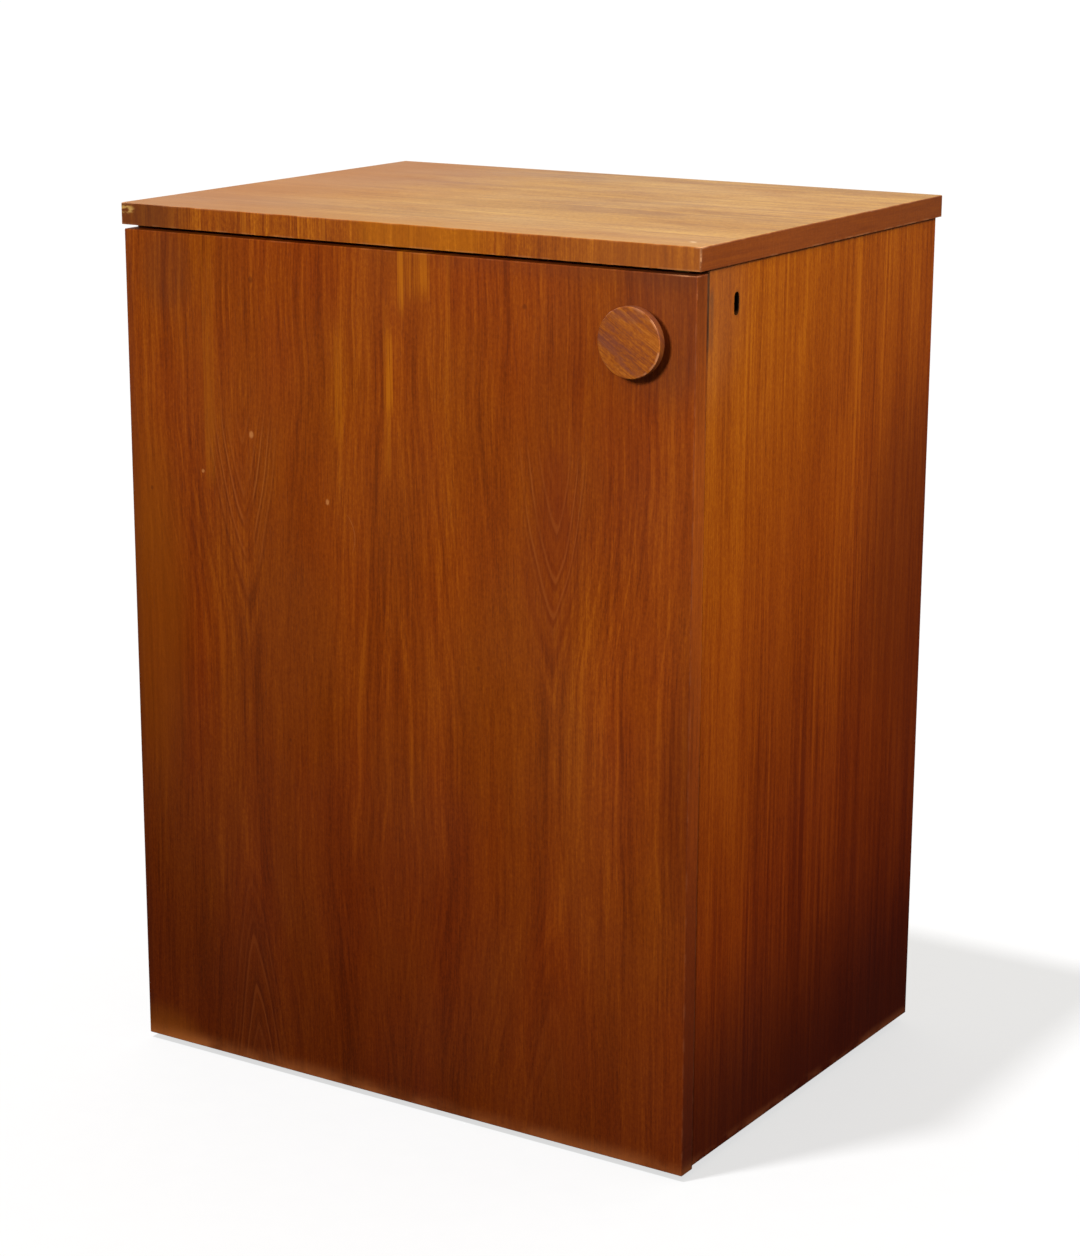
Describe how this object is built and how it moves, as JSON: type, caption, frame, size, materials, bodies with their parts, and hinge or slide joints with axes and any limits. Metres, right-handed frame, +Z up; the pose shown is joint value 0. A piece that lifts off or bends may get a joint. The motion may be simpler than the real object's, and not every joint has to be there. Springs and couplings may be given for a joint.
{
  "type": "cellarette",
  "caption": "Free-standing veneered drinks cabinet with one full-width door, a round turned knob, a lock, a bottle crate, a shelf and a rack on the door.",
  "frame": {"origin": "on the floor, under the middle of the box that holds the whole cabinet, knob and top board included, with the door shut", "axes": "+X to the right seen from the front, +Y to the back, +Z up"},
  "size_m": [0.5658, 0.4452, 0.762],
  "materials": {
    "teak": "oiled satin",
    "inner_wood": "matt lacquer",
    "back_board": "unfinished",
    "brass": "satin",
    "steel": "zinc plated",
    "magnet": "matt",
    "catch_plastic": "matt",
    "glide_plastic": "matt"
  },
  "bodies": {
    "carcass": {"top_panel": "teak", "left_side_panel": "teak", "right_side_panel": "teak", "bottom_panel": "inner_wood", "back_panel": "back_board", "top_tongue_left": "inner_wood", "top_tongue_right": "inner_wood", "glides": "glide_plastic", "shelf": "teak", "shelf_bearer_left": "inner_wood", "shelf_bearer_right": "inner_wood", "lower_hinge_carcass_leaf": "brass", "lower_hinge_pin": "brass", "upper_hinge_carcass_leaf": "brass", "upper_hinge_pin": "brass", "lock_plate": "brass", "lock_case": "steel", "lock_guide_stud": "steel", "catch_body": "catch_plastic", "catch_magnet": "magnet", "crate_left_end": "inner_wood", "crate_right_end": "inner_wood", "crate_front": "inner_wood", "crate_back": "inner_wood", "crate_long_slat_1": "inner_wood", "crate_long_slat_2": "inner_wood", "crate_cross_slat_1": "inner_wood", "crate_cross_slat_2": "inner_wood", "crate_cross_slat_3": "inner_wood", "crate_cross_slat_4": "inner_wood"},
    "door": {"door_panel": "teak", "knob": "teak", "knob_screw": "steel", "lower_hinge_door_leaf": "brass", "upper_hinge_door_leaf": "brass", "link_plate": "brass", "catch_plate": "steel", "door_rack_left_cheek": "inner_wood", "door_rack_right_cheek": "inner_wood", "door_rack_lower_shelf": "inner_wood", "door_rack_lower_strip": "inner_wood", "door_rack_lower_rail": "inner_wood", "door_rack_upper_shelf": "inner_wood", "door_rack_upper_strip": "inner_wood", "door_rack_upper_rail": "inner_wood"},
    "lock_bolt": {"lock_bolt": "brass"}
  },
  "joints": [
    {"name": "door_hinge", "type": "hinge", "parent": "carcass", "child": "door", "pos_m": [-0.2806, -0.18325, 0], "axis": [0, 0, -1], "range_deg": [0, 175]},
    {"name": "lock_bolt_slide", "type": "slide", "parent": "carcass", "child": "lock_bolt", "axis": [0, 0, 1], "range_m": [0, 0.006]}
  ]
}
